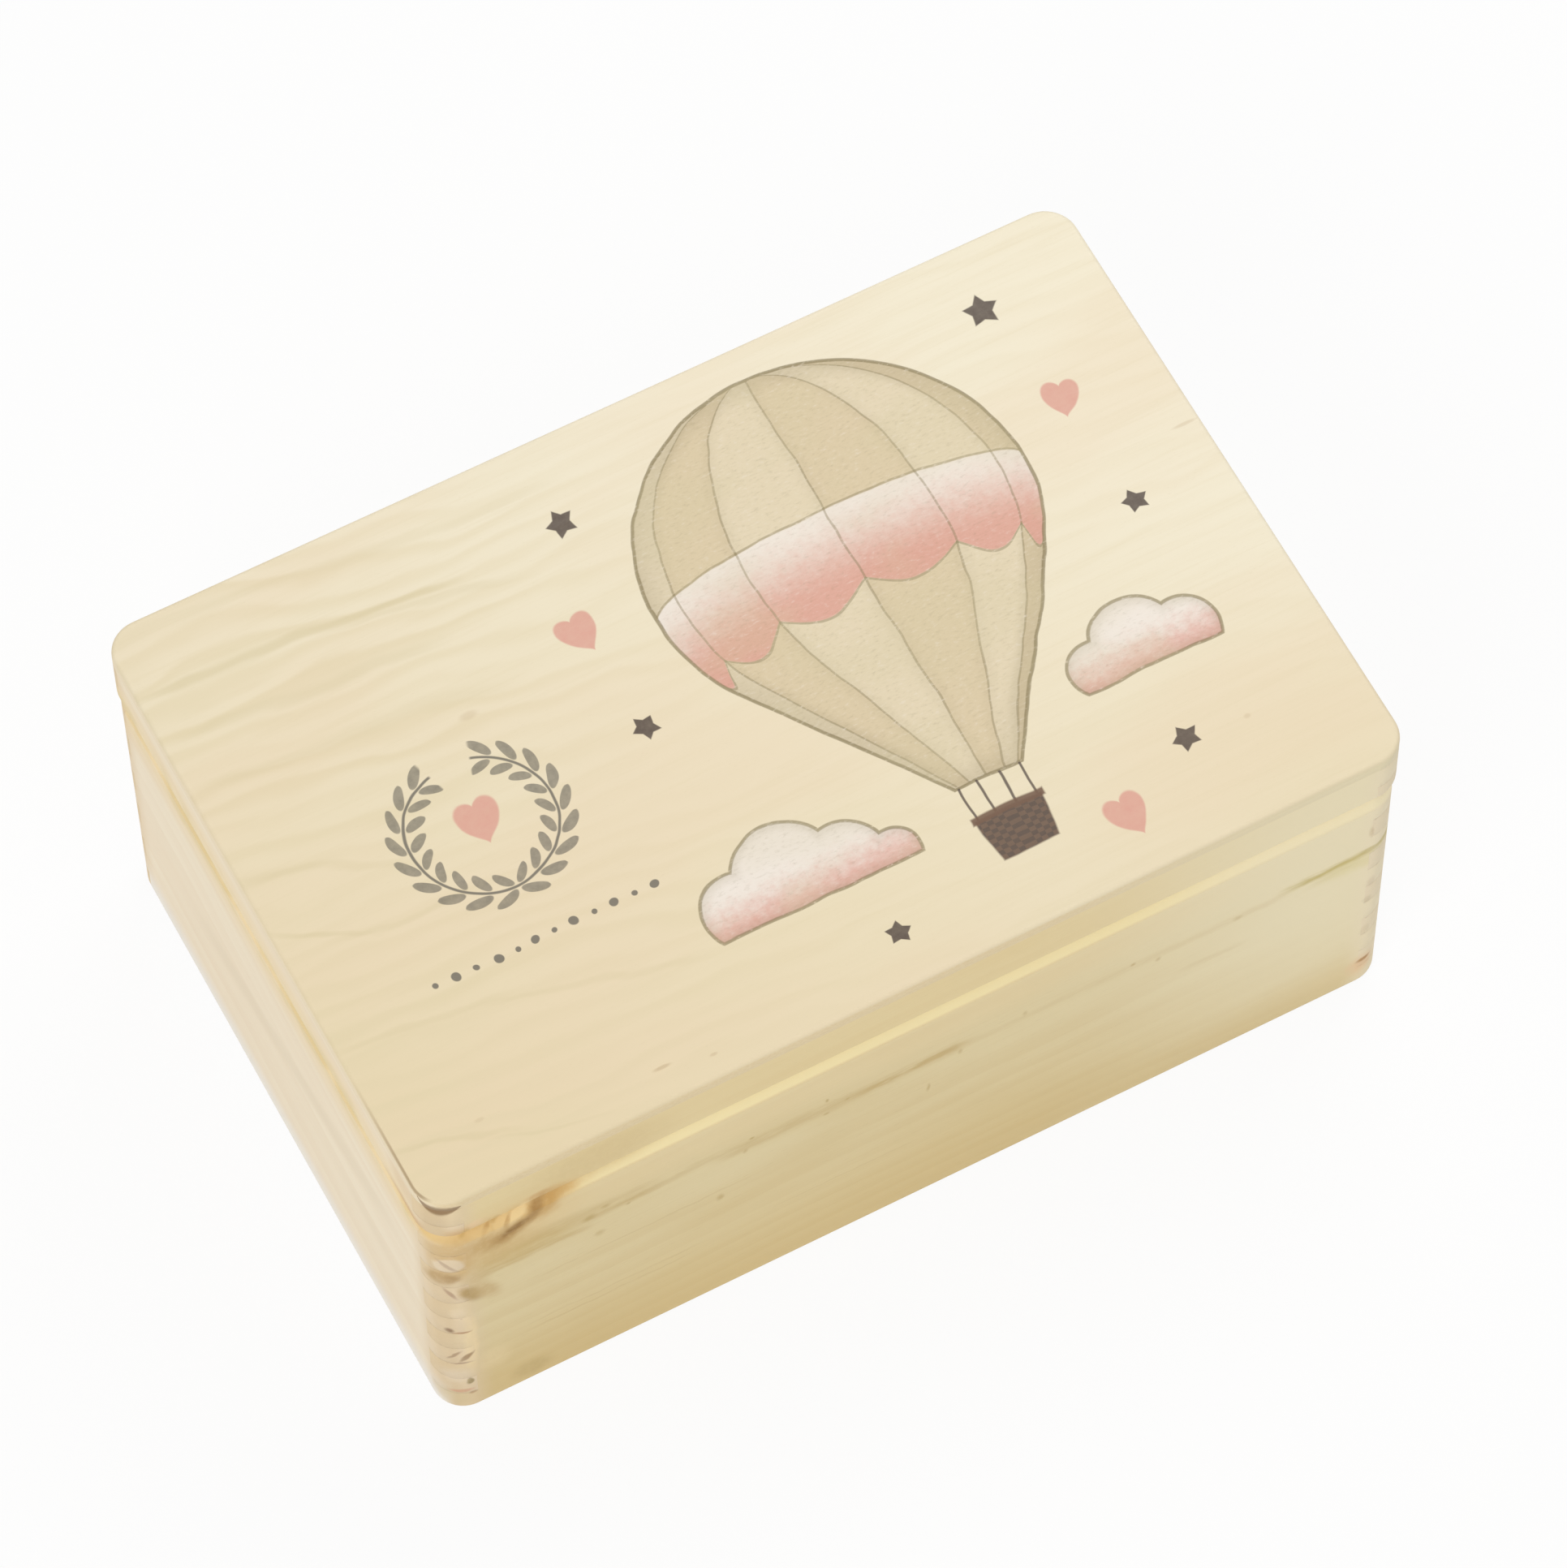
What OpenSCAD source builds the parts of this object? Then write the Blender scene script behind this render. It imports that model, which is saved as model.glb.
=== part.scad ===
// Keepsake box: finger-jointed pine case with a framed lid on two butt hinges.
// X runs along the long front, Y from front to back, Z up.
// The origin is the centre of the underside.

/* [Box] */
// Length over the lid
box_w = 300; // [200:1:420]
// Depth over the lid, front to back
box_d = 200; // [130:1:300]
// Height of the case, up to the seam
case_h = 107; // [60:1:180]
// Height of the lid, from the seam to the top
lid_h = 23.5; // [18:0.5:40]
// Open gap between the case and the closed lid
seam_gap = 0.3; // [0.2:0.1:0.8]
// How far the lid stands out past the case on every side
lid_overhang = 0.7; // [0:0.1:1]

/* [Boards] */
// Thickness of the case walls
wall_t = 9.5; // [9:0.5:14]
// Radius of the upright corners, measured on the lid
corner_r = 10; // [6:0.5:14]
// Fingers in each corner of the case
case_fingers = 11; // [4:1:16]
// Fingers in each corner of the lid frame
lid_fingers = 2; // [2:1:4]

/* [Panels] */
// Thickness of the lid panel
lid_panel_t = 4; // [3:0.5:6]
// Thickness of the bottom panel
bottom_panel_t = 3; // [2.5:0.5:5]
// Height of the bottom panel above the underside
bottom_lift = 5; // [3:0.5:12]
// Depth of the groove that holds the bottom panel
groove_depth = 4.5; // [3:0.5:6]
// Play of the bottom panel in its groove
groove_play = 0.2; // [0.1:0.05:0.5]

/* [Edges] */
// Chamfer on both sides of the seam, which makes a V groove all round
seam_chamfer = 4.2; // [2:0.1:4.5]
// Rounding of the outer edge of the underside
foot_round = 2; // [0.5:0.1:3]
// Rounding of the outer edge of the top
top_round = 1.2; // [0.5:0.1:2.5]

/* [Hinges] */
// Distance from the end of the box to the middle of a hinge
hinge_inset = 60; // [30:1:90]
// Distance from the back of the lid to the hinge axis, which lies in the V groove
axis_in = 3; // [2.5:0.1:3.2]
// Length of a hinge along the back
hinge_w = 25; // [20:1:40]
// Depth of a leaf, from the hinge axis inwards
leaf_reach = 6.2; // [6:0.1:6.3]
// Thickness of a leaf
leaf_t = 0.9; // [0.8:0.1:1.1]
// Outer diameter of the barrel
barrel_d = 3.6; // [3.2:0.1:4]
// Diameter of the hinge pin
pin_d = 1.8; // [1.4:0.1:2]
// Diameter of the pin's riveted heads
pin_head_d = 2.8; // [2.6:0.1:3]
// Thickness of the pin's riveted heads
pin_head_t = 0.5; // [0.3:0.1:0.8]
// Knuckles in a barrel, shared by both leaves
knuckles = 5; // [3:2:7]
// Gap between neighbouring knuckles
knuckle_gap = 0.3; // [0.2:0.05:0.5]
// Radial running clearance of the lid's knuckles on the pin
pin_play = 0.05; // [0.02:0.01:0.1]
// Clearance of the wood round the barrel
barrel_room = 0.35; // [0.3:0.05:0.6]
// Clearance of the wood beside the leaf's ends
leaf_room = 0.2; // [0.1:0.05:0.5]

/* [Screws] */
// Diameter of the screw's shank
screw_d = 2; // [1.6:0.1:2.2]
// Diameter of the countersunk head
screw_head_d = 3.4; // [3:0.1:3.6]
// Length of a screw
screw_l = 9; // [7:0.5:12]
// Distance between the two screws of a leaf
screw_pitch = 15; // [12:0.5:16]
// Width of the slot in the head
slot_w = 0.5; // [0.3:0.1:0.6]
// Depth of the slot in the head
slot_depth = 0.35; // [0.2:0.05:0.5]

/* [Hidden] */
$fn = 96;

// Colours
pine = [0.90, 0.84, 0.71];
pine_side = [0.89, 0.81, 0.73];
ply = [0.93, 0.87, 0.76];
brass = [0.78, 0.64, 0.34];
steel = [0.74, 0.72, 0.68];

// Case and lid outlines
case_w = box_w - 2 * lid_overhang;
case_d = box_d - 2 * lid_overhang;
case_corner_r = corner_r - lid_overhang;
rail_t = wall_t + lid_overhang;
inner_w = case_w - 2 * wall_t;
inner_d = case_d - 2 * wall_t;

// Heights
lid_z = case_h + seam_gap;
box_h = lid_z + lid_h;
panel_z = box_h - lid_panel_t;
rail_h = panel_z - lid_z;
// The long rails' first finger in the lid: 0 or 1, so that the turns go on above the seam
lid_first = case_fingers % 2;

// Hinge axis: inside the V groove at the back, halfway through the seam
axis_y = box_d / 2 - axis_in;
axis_z = case_h + seam_gap / 2;
hinge_x = box_w / 2 - hinge_inset;
knuckle_pitch = hinge_w / knuckles;
// The barrel's cut-back in the other leaf, between the two surfaces
leaf_edge = barrel_d / 2 + knuckle_gap;
// The screws stand in the middle of the flat part of a leaf
screw_in = (leaf_edge + leaf_reach) / 2;
head_depth = (screw_head_d - screw_d) / 2;
tip_l = screw_d;
// How far a cutter runs past the face it opens
past = 1;

// ---- Outline of the case and of the lid ----

// Half of an upright section: x from 0 to reach, z from low to high, with its outer
// corners chamfered or rounded.
module half_section(reach, low, high, low_round, low_chamfer, high_round, high_chamfer) {
    low_cut = low_round + low_chamfer;
    high_cut = high_round + high_chamfer;
    polygon([
        [0, low],
        [reach - low_cut, low],
        if (low_round > 0) [reach - low_cut, low + low_cut],
        [reach, low + low_cut],
        [reach, high - high_cut],
        if (high_round > 0) [reach - high_cut, high - high_cut],
        [reach - high_cut, high],
        [0, high]
    ]);
    if (low_round > 0) translate([reach - low_round, low + low_round]) circle(low_round);
    if (high_round > 0) translate([reach - high_round, high - high_round]) circle(high_round);
}

// A whole upright section, `span` wide, extruded along `run` and centred on both
module section_bar(span, run, low, high, edges) {
    rotate([90, 0, 0]) linear_extrude(run, center = true) for (m = [0, 1]) mirror([m, 0])
        half_section(span / 2, low, high, edges[0], edges[1], edges[2], edges[3]);
}

// A block with upright round corners, whose outer edges follow the section all round
module rounded_block(w, d, r, low, high, edges) {
    section_bar(w, d - 2 * r, low, high, edges);
    rotate(90) section_bar(d, w - 2 * r, low, high, edges);
    for (sx = [-1, 1], sy = [-1, 1]) translate([sx * (w / 2 - r), sy * (d / 2 - r), 0])
        rotate_extrude() half_section(r, low, high, edges[0], edges[1], edges[2], edges[3]);
}

module case_block() {
    rounded_block(case_w, case_d, case_corner_r, 0, case_h, [foot_round, 0, 0, seam_chamfer]);
}

module lid_block() {
    rounded_block(box_w, box_d, corner_r, lid_z, box_h, [0, seam_chamfer, top_round, 0]);
}

// ---- Finger joints ----
// In each corner the long boards and the short boards take turns. Counted from the underside
// up through the case and on into the lid, the long boards hold the even fingers.

// A board along X on the front side, `t` thick in an outline of w by d. Between the corners
// it has its full height, and in each corner it keeps every second finger from number `first`.
module long_board(w, d, t, low, h, fingers, first) {
    finger_h = h / fingers;
    translate([-w / 2 + t, -d / 2, low]) cube([w - 2 * t, t, h]);
    for (i = [first : 2 : fingers - 1]) translate([-w / 2, -d / 2, low + i * finger_h])
        cube([w, t, finger_h]);
}

// A board along Y on the left side. Its fingers fill the gaps that the long boards leave.
module short_board(w, d, t, low, h, fingers, first) {
    finger_h = h / fingers;
    translate([-w / 2, -d / 2 + t, low]) cube([t, d - 2 * t, h]);
    for (i = [first : 2 : fingers - 1]) translate([-w / 2, -d / 2, low + i * finger_h])
        cube([t, d, finger_h]);
}

// ---- Case ----

// Room for the bottom panel: the panel stands on the groove's lower side
module bottom_groove() {
    reach = groove_depth + groove_play;
    translate([-inner_w / 2 - reach, -inner_d / 2 - reach, bottom_lift])
        cube([inner_w + 2 * reach, inner_d + 2 * reach, bottom_panel_t + groove_play]);
}

module case_long_wall() {
    difference() {
        intersection() {
            case_block();
            long_board(case_w, case_d, wall_t, 0, case_h, case_fingers, 0);
        }
        bottom_groove();
    }
}

module case_short_wall() {
    difference() {
        intersection() {
            case_block();
            short_board(case_w, case_d, wall_t, 0, case_h, case_fingers, 1);
        }
        bottom_groove();
    }
}

module front_wall() {
    color(pine) case_long_wall();
}

module back_wall() {
    color(pine) difference() {
        mirror([0, 1, 0]) case_long_wall();
        for (sx = [-1, 1]) translate([sx * hinge_x, axis_y, axis_z]) hinge_bed();
    }
}

module left_wall() {
    color(pine_side) case_short_wall();
}

module right_wall() {
    color(pine_side) mirror([1, 0, 0]) case_short_wall();
}

module bottom_panel() {
    w = inner_w + 2 * groove_depth;
    d = inner_d + 2 * groove_depth;
    color(ply) translate([-w / 2, -d / 2, bottom_lift]) cube([w, d, bottom_panel_t]);
}

// ---- Lid ----

module lid_long_rail() {
    intersection() {
        lid_block();
        long_board(box_w, box_d, rail_t, lid_z, rail_h, lid_fingers, lid_first);
    }
}

module lid_short_rail() {
    intersection() {
        lid_block();
        short_board(box_w, box_d, rail_t, lid_z, rail_h, lid_fingers, 1 - lid_first);
    }
}

module lid_front_rail() {
    color(pine) lid_long_rail();
}

module lid_back_rail() {
    color(pine) difference() {
        mirror([0, 1, 0]) lid_long_rail();
        for (sx = [-1, 1]) translate([sx * hinge_x, axis_y, axis_z]) mirror([0, 0, 1]) hinge_bed();
    }
}

module lid_left_rail() {
    color(pine_side) lid_short_rail();
}

module lid_right_rail() {
    color(pine_side) mirror([1, 0, 0]) lid_short_rail();
}

module lid_panel() {
    color(ply) intersection() {
        lid_block();
        translate([-box_w / 2, -box_d / 2, panel_z]) cube([box_w, box_d, lid_panel_t]);
    }
}

// ---- Hinges ----
// Each hinge is drawn about its own axis, which runs along X through the origin. The case
// leaf lies below the axis and points to the front, and the lid leaf is its mirror image.

// What the wood loses to a hinge: the leaf's bed, the room round the barrel and the screw holes
module hinge_bed() {
    room_r = barrel_d / 2 + barrel_room;
    room_w = hinge_w + 2 * (pin_head_t + barrel_room);
    bed_w = hinge_w + 2 * leaf_room;
    bed_d = leaf_reach + leaf_room;
    translate([-bed_w / 2, -bed_d, -seam_gap / 2 - leaf_t]) cube([bed_w, bed_d, leaf_t + past]);
    axis_bar(2 * room_r, -room_w / 2, room_w / 2);
    at_screws() screw_body();
}

// x from start to end of knuckle number i
function knuckle_low(i) = -hinge_w / 2 + i * knuckle_pitch + (i == 0 ? 0 : knuckle_gap / 2);
function knuckle_high(i) = -hinge_w / 2 + (i + 1) * knuckle_pitch - (i == knuckles - 1 ? 0 : knuckle_gap / 2);

// A round bar along the hinge axis
module axis_bar(d, from, to) {
    translate([from, 0, 0]) rotate([0, 90, 0]) cylinder(d = d, h = to - from);
}

// One leaf: its flat, the knuckles numbered first, first + 2 and so on, and its holes
module leaf(first, bore_d) {
    flat_z = -seam_gap / 2 - leaf_t;
    difference() {
        union() {
            translate([-hinge_w / 2, -leaf_reach, flat_z]) cube([hinge_w, leaf_reach - leaf_edge, leaf_t]);
            for (i = [first : 2 : knuckles - 1]) {
                axis_bar(barrel_d, knuckle_low(i), knuckle_high(i));
                translate([knuckle_low(i), -leaf_edge - past, flat_z])
                    cube([knuckle_high(i) - knuckle_low(i), leaf_edge + past, leaf_t]);
            }
        }
        axis_bar(bore_d, -hinge_w / 2 - past, hinge_w / 2 + past);
        at_screws() screw_body();
    }
}

module case_leaf() {
    color(brass) leaf(0, pin_d);
}

module lid_leaf() {
    color(brass) mirror([0, 0, 1]) leaf(1, pin_d + 2 * pin_play);
}

// The pin, with a riveted head at each end that bears on the outer knuckles
module hinge_pin() {
    color(steel) {
        axis_bar(pin_d, -hinge_w / 2, hinge_w / 2);
        for (m = [0, 1]) mirror([m, 0, 0]) axis_bar(pin_head_d, hinge_w / 2, hinge_w / 2 + pin_head_t);
    }
}

// ---- Screws ----
// Drawn for the case leaf: head up, flush with the leaf's face.

module at_screws() {
    for (sx = [-1, 1]) translate([sx * screw_pitch / 2, -screw_in, -seam_gap / 2]) children();
}

// Head, shank and tip turned in one piece. The holes in the leaf and in the wood follow it.
module screw_body() {
    rotate_extrude() polygon([
        [0, -screw_l], [screw_d / 2, tip_l - screw_l], [screw_d / 2, -head_depth],
        [screw_head_d / 2, 0], [0, 0]
    ]);
}

module screw() {
    difference() {
        screw_body();
        translate([-screw_head_d / 2 - past, -slot_w / 2, -slot_depth])
            cube([screw_head_d + 2 * past, slot_w, slot_depth + past]);
    }
}

module case_screws() {
    color(brass) at_screws() screw();
}

module lid_screws() {
    color(brass) mirror([0, 0, 1]) at_screws() screw();
}

// Puts a piece of a hinge in its place: side -1 is the left hinge, 1 the right one
module at_hinge(side) {
    translate([side * hinge_x, axis_y, axis_z]) children();
}

front_wall();
back_wall();
left_wall();
right_wall();
bottom_panel();
lid_front_rail();
lid_back_rail();
lid_left_rail();
lid_right_rail();
lid_panel();
at_hinge(-1) case_leaf();  // left_hinge_case_leaf
at_hinge(-1) lid_leaf();  // left_hinge_lid_leaf
at_hinge(-1) hinge_pin();  // left_hinge_pin
at_hinge(1) case_leaf();  // right_hinge_case_leaf
at_hinge(1) lid_leaf();  // right_hinge_lid_leaf
at_hinge(1) hinge_pin();  // right_hinge_pin
at_hinge(-1) case_screws();  // left_hinge_case_screws
at_hinge(-1) lid_screws();  // left_hinge_lid_screws
at_hinge(1) case_screws();  // right_hinge_case_screws
at_hinge(1) lid_screws();  // right_hinge_lid_screws
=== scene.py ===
import math
import bpy
from mathutils import Matrix, Vector


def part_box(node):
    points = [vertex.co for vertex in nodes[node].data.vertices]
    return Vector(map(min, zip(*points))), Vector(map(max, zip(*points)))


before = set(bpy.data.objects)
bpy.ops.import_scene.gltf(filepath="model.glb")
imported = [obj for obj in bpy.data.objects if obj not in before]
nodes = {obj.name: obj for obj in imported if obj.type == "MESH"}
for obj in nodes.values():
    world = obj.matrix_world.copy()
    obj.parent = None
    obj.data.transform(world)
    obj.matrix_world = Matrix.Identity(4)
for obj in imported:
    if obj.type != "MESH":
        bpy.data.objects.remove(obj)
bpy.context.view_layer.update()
mm = 0.001
print("frame loaded:", len(nodes), "nodes")


# small tools for shaders

def paint(red, green, blue):
    # a colour as a colour card gives it, 0 to 255, turned into linear light by the sRGB curve
    def linear(value):
        share = value / 255
        return share / 12.92 if share <= 0.04045 else ((share + 0.055) / 1.055) ** 2.4
    return (linear(red), linear(green), linear(blue), 1)


class Wire:
    # the output of a node: Python's operators on it add Math nodes
    def __init__(self, finish, socket):
        self.finish = finish
        self.socket = socket

    def __add__(self, other):
        return self.finish.math("ADD", self, other)

    def __radd__(self, other):
        return self.finish.math("ADD", other, self)

    def __sub__(self, other):
        return self.finish.math("SUBTRACT", self, other)

    def __rsub__(self, other):
        return self.finish.math("SUBTRACT", other, self)

    def __mul__(self, other):
        return self.finish.math("MULTIPLY", self, other)

    def __rmul__(self, other):
        return self.finish.math("MULTIPLY", other, self)

    def __truediv__(self, other):
        return self.finish.math("DIVIDE", self, other)

    def __rtruediv__(self, other):
        return self.finish.math("DIVIDE", other, self)

    def __pow__(self, other):
        return self.finish.math("POWER", self, other)

    def __mod__(self, other):
        return self.finish.math("FLOORED_MODULO", self, other)

    def __abs__(self):
        return self.finish.math("ABSOLUTE", self)

    def __neg__(self):
        return self.finish.math("MULTIPLY", self, -1)

    def floor(self):
        return self.finish.math("FLOOR", self)

    def least(self, other):
        return self.finish.math("MINIMUM", self, other)

    def most(self, other):
        return self.finish.math("MAXIMUM", self, other)

    def ease(self, start, end):
        # 0 at start, 1 at end, smooth between; start may be the larger one
        sockets = {0: self, 1: start, 2: end, 3: 0, 4: 1}
        return self.finish.add("ShaderNodeMapRange", {"interpolation_type": "SMOOTHSTEP"}, sockets)


class Finish:
    # builds the nodes of one material, or of the world
    def __init__(self, owner):
        owner.use_nodes = True
        self.owner = owner
        self.tree = owner.node_tree
        self.tree.nodes.clear()

    def add(self, kind, settings=None, sockets=None, output=0):
        node = self.tree.nodes.new(kind)
        for name, value in (settings or {}).items():
            setattr(node, name, value)
        for name, value in (sockets or {}).items():
            if isinstance(value, Wire):
                self.tree.links.new(value.socket, node.inputs[name])
            else:
                node.inputs[name].default_value = value
        if len(node.outputs) > 0:
            return Wire(self, node.outputs[output])

    def math(self, operation, *values):
        return self.add("ShaderNodeMath", {"operation": operation}, dict(enumerate(values)))

    def vectorMath(self, operation, *values, scale=None, output=0):
        sockets = dict(enumerate(values))
        if scale is not None:
            sockets["Scale"] = scale
        return self.add("ShaderNodeVectorMath", {"operation": operation}, sockets, output)

    def split(self, vector):
        node = self.add("ShaderNodeSeparateXYZ", None, {0: vector}).socket.node
        return [Wire(self, output) for output in node.outputs]

    def join(self, x, y, z=0.0):
        return self.add("ShaderNodeCombineXYZ", None, {0: x, 1: y, 2: z})

    def noise(self, place, scale, detail=2.0, roughness=0.5, seed=0.0):
        # scale holds the turns per millimetre along each axis
        spot = self.vectorMath("MULTIPLY_ADD", place, scale, (seed, seed * 1.7, seed * 0.6))
        sockets = {"Vector": spot, "Scale": 1.0, "Detail": detail, "Roughness": roughness}
        return self.add("ShaderNodeTexNoise", None, sockets)

    def chance(self, number):
        # a random value from 0 to 1 for each whole number
        return self.add("ShaderNodeTexWhiteNoise", {"noise_dimensions": "1D"}, {"W": number})

    def specks(self, place, scale, size, seed=0.0):
        # small grains, one in each cell of a loose grid
        spot = self.vectorMath("MULTIPLY_ADD", place, scale, (seed, seed, seed))
        gap = self.add("ShaderNodeTexVoronoi", None, {"Vector": spot, "Scale": 1.0})
        return gap.ease(size, size * 0.4)

    def mix(self, share, first, second):
        # for colours the Mix node's sockets are 0, 6 and 7, and its output is 2
        sockets = {0: share, 6: first, 7: second}
        return self.add("ShaderNodeMix", {"data_type": "RGBA"}, sockets, 2)

    def local(self, flat, centre, size, turn=0.0):
        # the place as seen from a mark of its own centre, half axes and turn
        # (dot products, because many Mapping nodes at once overrun the renderer's stack)
        cosine = math.cos(math.radians(turn))
        sine = math.sin(math.radians(turn))
        away = self.vectorMath("SUBTRACT", flat, (*centre, 0))
        firstAxis = (cosine / size[0], sine / size[0], 0)
        secondAxis = (-sine / size[1], cosine / size[1], 0)
        first = self.vectorMath("DOT_PRODUCT", away, firstAxis, output="Value")
        second = self.vectorMath("DOT_PRODUCT", away, secondAxis, output="Value")
        return self.join(first, second)

    def blot(self, flat, centre, size, turn=0.0, core=0.35):
        # an oval mark: 1 inside its core, 0 outside
        reach = self.vectorMath("LENGTH", self.local(flat, centre, size, turn), output="Value")
        return reach.ease(1, core)

    def streak(self, along, across, start, end, width, fade=6.0):
        # a line from start to end on a board's face, which fades out at both ends
        slope = (end[1] - start[1]) / (end[0] - start[0])
        line = abs(across - ((along - start[0]) * slope + start[1])).ease(width, width * 0.15)
        head = along.ease(start[0] - fade, start[0] + fade)
        tail = along.ease(end[0] + fade, end[0] - fade)
        return line * head * tail

    def seenRays(self):
        # 1 for what the lens, a mirror or a glass looks at, 0 for what only lights
        path = self.add("ShaderNodeLightPath").socket.node.outputs
        seen = Wire(self, path["Is Camera Ray"]).most(Wire(self, path["Is Glossy Ray"]))
        return seen.most(Wire(self, path["Is Transmission Ray"]))

    def close(self, shader, kind="ShaderNodeOutputMaterial"):
        self.add(kind, None, {"Surface": shader})
        return self.owner


class PieceFinish(Finish):
    # a material whose `point` is the place on the piece in millimetres
    def __init__(self, name):
        super().__init__(bpy.data.materials.new(name))
        place = self.add("ShaderNodeTexCoord", output="Object")
        self.point = self.vectorMath("SCALE", place, scale=1 / mm)
        self.x, self.y, self.z = self.split(self.point)
        self.normal = self.split(self.add("ShaderNodeTexCoord", output="Normal"))

    def surface(self, colour, roughness, height, lift, constants=None):
        # lift is the height of the relief in millimetres
        relief = {"Height": height, "Distance": lift * mm, "Strength": 1.0}
        bump = self.add("ShaderNodeBump", None, relief)
        sockets = {"Base Color": colour, "Roughness": roughness, "Normal": bump}
        sockets.update(constants or {})
        return self.close(self.add("ShaderNodeBsdfPrincipled", None, sockets))


def dress(names, material):
    for name in names:
        for slot in nodes[name].material_slots:
            slot.material = material


camera = {
    "azimuth": -27.129,  # degrees from the front, towards the right end
    "elevation": 61.371,
    "roll": 0.863,
    "lens": 197.83,
    "place": (-0.51657, -1.02534, 2.18116),  # metres
    "farClip": 20,
}


def makeCamera(spec):
    turn = math.radians(spec["azimuth"])
    tilt = math.radians(spec["elevation"])
    roll = math.radians(spec["roll"])
    back = Vector((
        math.sin(turn) * math.cos(tilt),
        -math.cos(turn) * math.cos(tilt),
        math.sin(tilt),
    ))
    right = Vector((math.cos(turn), math.sin(turn), 0))
    up = back.cross(right)
    rolledRight = right * math.cos(roll) - up * math.sin(roll)
    rolledUp = right * math.sin(roll) + up * math.cos(roll)
    lens = bpy.data.cameras.new("camera")
    lens.lens = spec["lens"]
    lens.clip_end = spec["farClip"]
    holder = bpy.data.objects.new("camera", lens)
    facing = Matrix((rolledRight, rolledUp, back)).transposed().to_4x4()
    holder.matrix_world = Matrix.Translation(spec["place"]) @ facing
    bpy.context.scene.collection.objects.link(holder)
    bpy.context.scene.camera = holder


makeCamera(camera)
print("camera placed")


studio = {
    "white": (1, 1, 1, 1),
    "sky": 0.5,
    "floorSize": 6.0,
    "floorColour": paint(248, 247, 245),
    "floorGlow": 0.9,
    "lamps": [
        # name, place, width, watts
        ("windowLamp", (0.75, 0.6, 1.25), 0.9, 7.0),
        ("frontLamp", (-1.35, -1.1, 1.7), 1.1, 19.0),
    ],
    "aim": (0.0, 0.0, 0.06),
}


def makeSky(spec):
    f = Finish(bpy.data.worlds.new("studio"))
    bpy.context.scene.world = f.owner
    sky = f.add("ShaderNodeBackground", None, {"Color": spec["white"], "Strength": spec["sky"]})
    white = f.add("ShaderNodeBackground", None, {"Color": spec["white"], "Strength": 1.0})
    both = f.add("ShaderNodeMixShader", None, {0: f.seenRays(), 1: sky, 2: white})
    f.close(both, "ShaderNodeOutputWorld")


def makeLamps(spec):
    for name, place, width, watts in spec["lamps"]:
        lamp = bpy.data.lights.new(name, "AREA")
        lamp.size = width
        lamp.energy = watts
        holder = bpy.data.objects.new(name, lamp)
        holder.location = place
        aim = Vector(spec["aim"]) - Vector(place)
        holder.rotation_euler = aim.to_track_quat("-Z", "Y").to_euler()
        bpy.context.scene.collection.objects.link(holder)


def makeFloor(spec):
    half = spec["floorSize"] / 2
    mesh = bpy.data.meshes.new("floor")
    corners = [(-half, -half, 0), (half, -half, 0), (half, half, 0), (-half, half, 0)]
    mesh.from_pydata(corners, [], [(0, 1, 2, 3)])
    floor = bpy.data.objects.new("floor", mesh)
    bpy.context.scene.collection.objects.link(floor)
    f = Finish(bpy.data.materials.new("floor"))
    matte = f.add("ShaderNodeBsdfDiffuse", None, {"Color": spec["floorColour"]})
    glow = f.add("ShaderNodeEmission", None, {"Color": spec["white"], "Strength": 1.0})
    share = f.seenRays() * spec["floorGlow"]
    both = f.add("ShaderNodeMixShader", None, {0: share, 1: matte, 2: glow})
    mesh.materials.append(f.close(both))


bpy.context.scene.view_settings.view_transform = "Standard"
makeSky(studio)
makeLamps(studio)
makeFloor(studio)
print("studio lit")


# pine boards: levels and corners in millimetres, for the patterns on them
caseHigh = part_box("front_wall")[1]
lidLow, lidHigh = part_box("lid_front_rail")
topLow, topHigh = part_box("lid_panel")
fingers = {
    "caseCount": 11,  # fingers one above the other at a corner of the case
    "lidCount": 2,
    "caseEdge": caseHigh.z / mm,
    "lidEdge": lidLow.z / mm,
    "lidTop": lidHigh.z / mm,
    "cornerX": -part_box("left_wall")[1].x / mm,
    "cornerY": -caseHigh.y / mm,
    "rim": 2.5,  # how far past the corner's line its own tone is full
    "verge": 6.0,  # how far before it that tone begins
    "wrapRadius": 9.5,
    "skin": (4, 4.4),  # the outer face lies farther than this from a corner's axis
    "grooveLow": 102.8,  # where the case's flank of the V groove begins
    "flankStretch": 2.3,
}


def cornerField(f):
    # where two boards meet in a corner: the zone of the fingers, the same with a soft rim,
    # and the distance to the nearest finger line
    spec = fingers
    fromX = abs(f.x) - spec["cornerX"]
    fromY = abs(f.y) - spec["cornerY"]
    zone = fromX.ease(-0.2, 0.1) * fromY.ease(-0.2, 0.1)
    soft = fromX.ease(-spec["verge"], spec["rim"]) * fromY.ease(-spec["verge"], spec["rim"])
    casePitch = spec["caseEdge"] / spec["caseCount"]
    lidPitch = (spec["lidTop"] - spec["lidEdge"]) / spec["lidCount"]
    inLid = f.z.ease(spec["caseEdge"], spec["lidEdge"])
    step = f.z / casePitch * (1 - inLid) + (f.z - spec["lidEdge"]) / lidPitch * inLid
    return zone, soft, abs((step + 0.5) % 1 - 0.5) * casePitch


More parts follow.
